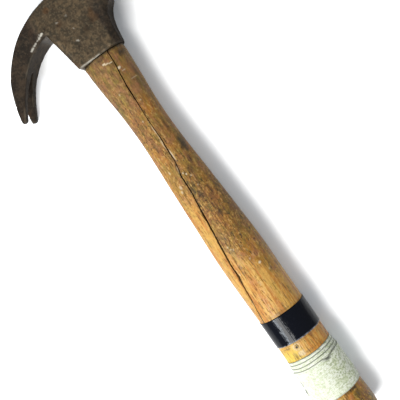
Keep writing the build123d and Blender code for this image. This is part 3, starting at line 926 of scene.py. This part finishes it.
def height_on_turns_below(along, turn, edge_at, width, thickness):
    """How far a wound strip stands off the wood, lying on its own turns and dropping off their edges."""
    soft, gap = 0.5 * MM, 0.015 * MM
    height = np.full_like(along, 0.02 * MM)
    for below in range(1, int(np.ceil(turn.max()))):
        under = turn - below
        laid = ramp(under * TAU, -0.02, 0.09)
        low_edge = edge_at(np.maximum(under, 0))
        high_edge = low_edge + width
        cover = ramp(along, low_edge - soft, low_edge) * ramp(along, high_edge + soft, high_edge)
        height = height + (thickness + gap) * laid * cover
    return height


def strip_border(rows, columns):
    """Indices round the border of a grid of points, in order."""
    first = np.arange(columns)
    right = np.arange(1, rows) * columns + columns - 1
    last = (rows - 1) * columns + np.arange(columns - 1)[::-1]
    left = np.arange(1, rows - 1)[::-1] * columns
    return np.concatenate([first, right, last, left])


def make_black_tape(vinyl, sections):
    """Nearly three turns of insulating tape, their edges not quite in line."""
    piece, *_ = wound_strip(
        "black_tape_strip", sections, start=69.3 * MM, width=19.0 * MM, turns=2.62, first_angle=2.6,
        thickness=0.15 * MM, drift=0.12 * MM, edge_wander=0.16 * MM, seed=201,
    )
    piece.data.materials.append(vinyl)
    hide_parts("black_tape_band")
    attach(piece, "root")


def make_cloth_tape(cloth, sections):
    """Nearly four turns of cloth tape, each further towards the butt, with a loose fold at one edge."""
    width = 26.0 * MM
    piece, turn, u, angle = wound_strip(
        "cloth_tape_strip", sections, start=33.2 * MM, width=width, turns=CLOTH_TURNS, first_angle=3.3,
        thickness=0.27 * MM, drift=-2.28 * MM, edge_wander=0.22 * MM, seed=301,
        lift=cloth_lift, tuck=1.1 * MM, tuck_turn=CLOTH_TUCK_TURN,
    )
    to_nearest_edge = np.minimum(u, 1 - u) * width / MM
    threads = np.stack([u * width / MM, 0 * u, 0 * u], 1)
    # painted shadow: dark dashes under the lifted loose end
    end = ramp(turn, CLOTH_TURNS - 0.024, CLOTH_TURNS - 0.016)
    end = 0.95 * end * ramp(smooth_noise(threads, 1.4, 307), -0.3, 0.1)
    # painted shadow: a dark line under the fold at the strip's edge
    fold_shadow = 0.95 * bump_at(turn, CLOTH_TUCK_TURN, 0.05) * ramp(u, 0.90, 0.945)
    # the strip is also darker within 0.8 mm of its edges
    dark_edges_and_shadows = np.maximum(0.75 * ramp(to_nearest_edge, 0.8, 0.0), np.maximum(end, fold_shadow))
    write_mask(piece, "dark_edges_and_shadows", np.concatenate([dark_edges_and_shadows] * 2))
    # painted shade: 1 on the striking side of the handle, falling to 0 towards the top and the claw side
    painted_shade_side = np.repeat(ramp(np.sin(angle), 0.15, -0.75), len(u) // len(angle))
    write_mask(piece, "painted_shade_side", np.concatenate([painted_shade_side] * 2))
    piece.data.materials.append(cloth)
    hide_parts("cloth_tape_wrap")
    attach(piece, "root")


def cloth_lift(angle, along, turn):
    """How far the cloth stands off: a fold at its edge, a slack place and the curled loose end."""
    around = (angle + pi) % TAU - pi
    last = ramp(turn, CLOTH_TURNS - 1.0, CLOTH_TURNS - 0.9)
    near_edge = ramp(along, 46 * MM, 52 * MM)
    fold = bump_at(around, -0.75, 0.42) * near_edge * last
    sag = 0.35 * MM * bump_at(around, -1.25, 0.7) * last
    where = np.stack([along / MM, 0 * along, 0 * along], -1).reshape(-1, 3)
    curled = ramp(smooth_noise(where, 2.4, 305), -0.5, 0.5).reshape(along.shape)
    loose_end = (0.35 + 0.65 * curled) * ramp(turn, CLOTH_TURNS - 0.035, CLOTH_TURNS)
    return 0.75 * MM * fold + sag + 0.8 * MM * loose_end


# ------ small CAD pieces


def finish_cad_node(node, material, bevel):
    """Gives a CAD node its material and softens its edges."""
    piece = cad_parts[node]
    piece.data.materials.clear()
    piece.data.materials.append(material)
    piece.modifiers.new("joined_faces", "WELD").merge_threshold = 0.001 * MM
    modifier = piece.modifiers.new("soft_edges", "BEVEL")
    modifier.width, modifier.segments, modifier.limit_method = bevel, 2, "ANGLE"


# ------ floor, lights and camera

CAMERA_PLACE = (41.7 * MM, -45.5 * MM, 484.5 * MM)
CAMERA_TARGET = (9.3 * MM, 3.7 * MM, MID_Z)
CAMERA_UP = Vector((0.8161, -0.5665, -0.1146))  # between the head and the striking side


def make_floor():
    half = 1.5
    corners = half * np.array([(-1, -1, 0), (1, -1, 0), (1, 1, 0), (-1, 1, 0)])
    floor = mesh_piece("floor", corners, [[(0, 1, 2, 3)]])
    floor.data.materials.append(pale_floor())


def aimed(made, place, target):
    """Puts a lamp or camera at a place, looking at a target."""
    look = (Vector(target) - Vector(place)).to_track_quat("-Z", "Y").to_matrix().to_4x4()
    made.matrix_world = Matrix.Translation(place) @ look
    bpy.context.scene.collection.objects.link(made)
    return made


def from_above(zenith, azimuth):
    """A place 1 m away, at angles in degrees: down from straight up, and round from +X towards +Y."""
    down, around = radians(zenith), radians(azimuth)
    return sin(down) * cos(around), sin(down) * sin(around), cos(down)


def make_lamp(name, place, width, height, brightness, colour):
    """An oblong lamp pointing at the middle of the scene. brightness is what it adds to the floor."""
    lamp = bpy.data.lights.new(name, "AREA")
    lamp.shape, lamp.size, lamp.size_y = "RECTANGLE", width, height
    distance = sqrt(sum(v * v for v in place))
    lamp.energy = brightness * (pi * distance) ** 2 / (FLOOR_WHITE * place[2] / distance)
    lamp.color = colour
    aimed(bpy.data.objects.new(name, lamp), place, (0, 0, 0))


def make_lights():
    """An even bluish sky, a soft lamp from above and the claw side, and a small sharper one."""
    world = bpy.data.worlds.new("world")
    world.use_nodes = True
    background = world.node_tree.nodes["Background"]
    background.inputs["Color"].default_value = (0.91, 0.955, 1.0, 1)
    background.inputs["Strength"].default_value = 0.70
    bpy.context.scene.world = world
    make_lamp("skylight", from_above(35, 124), 0.62, 0.32, 1.18, (1.0, 0.99, 0.97))
    make_lamp("window", from_above(49, 119), 0.28, 0.13, 0.38, (0.86, 0.93, 1.0))


def make_camera():
    """A camera nearly straight above the hammer, turned so that CAMERA_UP is up in the view."""
    camera = bpy.data.cameras.new("camera")
    camera.sensor_width, camera.lens = 36.0, 68.6
    made = aimed(bpy.data.objects.new("camera", camera), CAMERA_PLACE, CAMERA_TARGET)
    view = made.matrix_world.to_3x3()
    roll = atan2(view.col[0].dot(CAMERA_UP), view.col[1].dot(CAMERA_UP))
    made.matrix_world = made.matrix_world @ Matrix.Rotation(-roll, 4, "Z")
    bpy.context.scene.camera = made


# ------ the scene

make_camera()
make_lights()
make_floor()
bpy.context.scene.view_settings.view_transform = "Standard"

sections = handle_sections()
wood = handle_wood()
make_head(patinated_steel())
for part in (make_handle(wood, sections), make_tenon(wood)):
    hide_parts("handle")
make_black_tape(black_vinyl(), sections)
make_cloth_tape(cloth_tape(), sections)
wedge_steel = rusty_steel("wedge_steel", seen(70, 64, 58), seen(112, 104, 94), 0.45)
finish_cad_node("wood_wedge", end_grain_wood(), 0.15 * MM)
finish_cad_node("steel_wedge_claw_side", wedge_steel, 0.15 * MM)
finish_cad_node("steel_wedge_face_side", wedge_steel, 0.15 * MM)
brad_steel = rusty_steel("brad_steel", seen(50, 38, 28), seen(84, 66, 46), 0.4, brad_top)
finish_cad_node("repair_brad", brad_steel, 0.12 * MM)
